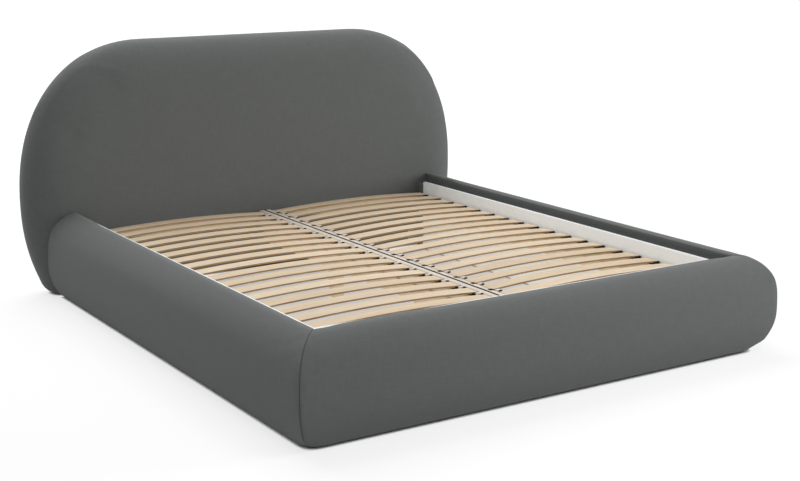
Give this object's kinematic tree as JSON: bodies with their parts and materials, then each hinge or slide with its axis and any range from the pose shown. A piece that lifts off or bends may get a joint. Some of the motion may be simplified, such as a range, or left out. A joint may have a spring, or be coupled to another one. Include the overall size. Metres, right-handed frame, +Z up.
{
  "type": "upholstered bed",
  "caption": "Upholstered bed with a rounded pillow headboard, convex padded rails and footboard mitred at the corners, white inner boards and lift-out sprung slat frames.",
  "frame": {"origin": "on the floor, under the middle of the bed's overall width and length", "axes": "+X to the right side seen from the foot, +Y towards the headboard, +Z up"},
  "size_m": [2.348, 2.5486, 1.164],
  "materials": {
    "upholstery": "matte",
    "white_board": "satin",
    "slat_veneer": "satin",
    "laminated_timber": "satin",
    "timber": "matte",
    "board": "matte",
    "back_cloth": "matte",
    "plastic": "matte",
    "steel": "satin"
  },
  "bodies": {
    "bed": {"headboard_panel": "board", "headboard_studs": "timber", "headboard_cushion": "upholstery", "headboard_back_cloth": "back_cloth", "left_rail_cushion": "upholstery", "right_rail_cushion": "upholstery", "footboard_cushion": "upholstery", "left_rail_board": "white_board", "right_rail_board": "white_board", "footboard_board": "white_board", "rail_cores": "timber", "support_cleats": "timber", "centre_beam": "timber", "beam_hangers": "steel", "centre_legs": "timber", "corner_brackets": "steel", "mounting_bolts": "steel", "floor_glides": "plastic"},
    "left_frame": {"left_frame_timbers": "laminated_timber", "left_slat_holders": "plastic", "left_slat_01": "slat_veneer", "left_slat_02": "slat_veneer", "left_slat_03": "slat_veneer", "left_slat_04": "slat_veneer", "left_slat_05": "slat_veneer", "left_slat_06": "slat_veneer", "left_slat_07": "slat_veneer", "left_slat_08": "slat_veneer", "left_slat_09": "slat_veneer", "left_slat_10": "slat_veneer", "left_slat_11": "slat_veneer", "left_slat_12": "slat_veneer", "left_slat_13": "slat_veneer", "left_slat_14": "slat_veneer", "left_slat_15": "slat_veneer", "left_slat_16": "slat_veneer", "left_slat_17": "slat_veneer", "left_slat_18": "slat_veneer"},
    "right_frame": {"right_frame_timbers": "laminated_timber", "right_slat_holders": "plastic", "right_slat_01": "slat_veneer", "right_slat_02": "slat_veneer", "right_slat_03": "slat_veneer", "right_slat_04": "slat_veneer", "right_slat_05": "slat_veneer", "right_slat_06": "slat_veneer", "right_slat_07": "slat_veneer", "right_slat_08": "slat_veneer", "right_slat_09": "slat_veneer", "right_slat_10": "slat_veneer", "right_slat_11": "slat_veneer", "right_slat_12": "slat_veneer", "right_slat_13": "slat_veneer", "right_slat_14": "slat_veneer", "right_slat_15": "slat_veneer", "right_slat_16": "slat_veneer", "right_slat_17": "slat_veneer", "right_slat_18": "slat_veneer"},
    "front_leg_foot": {"front_leg_foot": "plastic"},
    "rear_leg_foot": {"rear_leg_foot": "plastic"}
  },
  "joints": [
    {"name": "left_frame_lift", "type": "slide", "parent": "bed", "child": "left_frame", "axis": [0, 0, 1], "range_m": [0, 0.2]},
    {"name": "right_frame_lift", "type": "slide", "parent": "bed", "child": "right_frame", "axis": [0, 0, 1], "range_m": [0, 0.2]},
    {"name": "front_foot_screw", "type": "slide", "parent": "bed", "child": "front_leg_foot", "axis": [0, 0, 1], "range_m": [0, 0.012]},
    {"name": "rear_foot_screw", "type": "slide", "parent": "bed", "child": "rear_leg_foot", "axis": [0, 0, 1], "range_m": [0, 0.012]}
  ]
}
